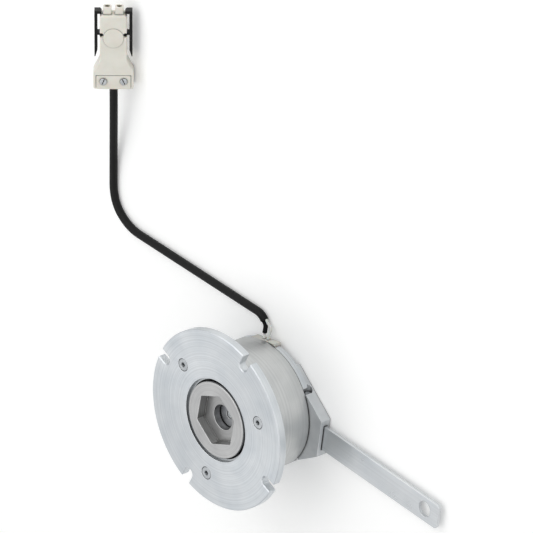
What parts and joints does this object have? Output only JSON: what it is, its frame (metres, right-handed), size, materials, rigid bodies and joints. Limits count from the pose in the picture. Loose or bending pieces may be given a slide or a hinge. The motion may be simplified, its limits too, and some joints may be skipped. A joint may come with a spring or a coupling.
{
  "type": "electromagnetic brake",
  "caption": "Spring-applied electromagnetic brake: slotted round flange, hexagon drive hub, magnet housing, flat hand-release lever, and a short cord with a latching connector.",
  "frame": {"origin": "centre of the mounting face, on the axis of the drive hub", "axes": "+Z out of the mounting face along the hub's axis, +X along the release lever; the brake hangs below the origin and rests on its rear side"},
  "size_m": [0.2699, 0.2115, 0.0391],
  "materials": {
    "flange_steel": "zinc plated, turned",
    "housing_steel": "zinc plated, satin",
    "hub_steel": "turned and broached, bare",
    "rotor_steel": "ground sheet",
    "friction_lining": "pressed friction lining",
    "armature_steel": "ground, nitrided",
    "screw_steel": "bright zinc",
    "pin_steel": "ground",
    "bobbin_plastic": "moulded, natural",
    "copper_winding": "enamelled copper wire",
    "spring_steel": "coiled wire",
    "block_metal": "die cast, satin",
    "lever_steel": "stamped, zinc plated",
    "rear_steel": "turned, zinc plated",
    "outlet_plastic": "moulded",
    "lead_jacket": "soft insulation",
    "sleeve_tube": "black woven sleeve",
    "cord_jacket": "black, matt",
    "plug_plastic": "moulded",
    "contact_brass": "tinned",
    "latch_plastic": "moulded, black"
  },
  "bodies": {
    "brake_body": {"mounting_flange": "flange_steel", "flange_screws": "screw_steel", "guide_pins": "pin_steel", "magnet_housing": "housing_steel", "coil_bobbin": "bobbin_plastic", "coil_winding": "copper_winding", "brake_springs": "spring_steel", "lever_block": "block_metal", "block_screws": "screw_steel", "pivot_shoes": "pin_steel", "rear_plate": "rear_steel", "rear_screws": "screw_steel", "outlet_block": "outlet_plastic", "outlet_screws": "screw_steel", "straight_lead": "lead_jacket", "loose_lead": "lead_jacket", "lead_sleeve": "sleeve_tube", "cord": "cord_jacket", "plug_housing": "plug_plastic", "plug_contacts": "contact_brass", "plug_clamp": "plug_plastic", "clamp_screws": "screw_steel"},
    "rotor": {"rotor_hub": "hub_steel", "rotor_disc": "rotor_steel", "front_lining": "friction_lining", "rear_lining": "friction_lining"},
    "armature": {"armature_plate": "armature_steel", "release_bolt": "screw_steel"},
    "lever": {"release_lever": "lever_steel", "lever_trunnion": "pin_steel"},
    "left_latch": {"left_latch": "latch_plastic"},
    "right_latch": {"right_latch": "latch_plastic"}
  },
  "joints": [
    {"name": "rotor_spin", "type": "hinge", "parent": "brake_body", "child": "rotor", "pos_m": [0, 0, -0.0067], "axis": [0, 0, 1], "continuous": true},
    {"name": "lever_release", "type": "hinge", "parent": "brake_body", "child": "lever", "pos_m": [0.0267, 0, -0.036], "axis": [0, -1, 0], "range_deg": [0, 1.06]},
    {"name": "armature_slide", "type": "slide", "parent": "brake_body", "child": "armature", "axis": [0, 0, -1], "range_m": [0, 0.00049], "stiffness_N_per_m": 300, "springref_m": -0.004, "deforming": ["brake_springs"]},
    {"name": "right_latch_squeeze", "type": "hinge", "parent": "brake_body", "child": "right_latch", "pos_m": [-0.12953, 0.14978, -0.0333], "axis": [-0.7298, -0.113, -0.6743], "range_deg": [0, 3.6], "stiffness_Nm_per_rad": 0.02},
    {"name": "left_latch_squeeze", "type": "hinge", "parent": "brake_body", "child": "left_latch", "pos_m": [-0.13769, 0.14852, -0.02426], "axis": [0.7298, 0.113, 0.6743], "range_deg": [0, 3.6], "stiffness_Nm_per_rad": 0.02}
  ],
  "couplings": [
    {"joint": "lever_release", "follows": "armature_slide", "rad_per_m": 37.453}
  ]
}
